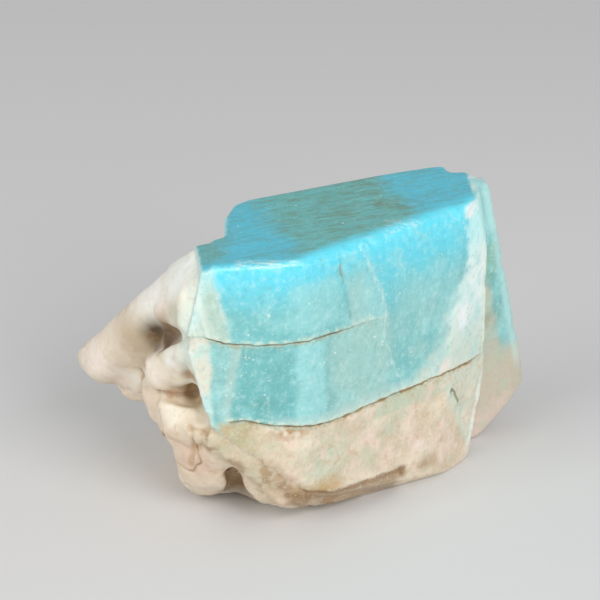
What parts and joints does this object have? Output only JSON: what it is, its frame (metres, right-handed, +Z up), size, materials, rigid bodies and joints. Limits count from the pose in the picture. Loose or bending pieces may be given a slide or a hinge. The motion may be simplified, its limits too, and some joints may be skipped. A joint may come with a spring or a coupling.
{
  "type": "amazonite crystal specimen",
  "caption": "Blocky blue-green amazonite crystal with a flat top, level cleavage cracks and a parallel side plate, standing on lumpy white feldspar with a sloping arm.",
  "frame": {"origin": "on the surface that the specimen stands on, under the middle of its bounding box", "axes": "+Z up, +X along the front of the specimen towards the side plate, +Y from the front to the back"},
  "size_m": [0.0652, 0.0426, 0.0405],
  "materials": {
    "amazonite": "translucent blue-green microcline, smooth lustrous cleavage and prism faces, paler and grainier towards the foot",
    "feldspar": "matt to waxy cream-white feldspar, lumpy and broken, with tan and brown stains in its hollows"
  },
  "bodies": {
    "root": {"amazonite_crystal": "amazonite", "feldspar_matrix": "feldspar"}
  },
  "joints": []
}
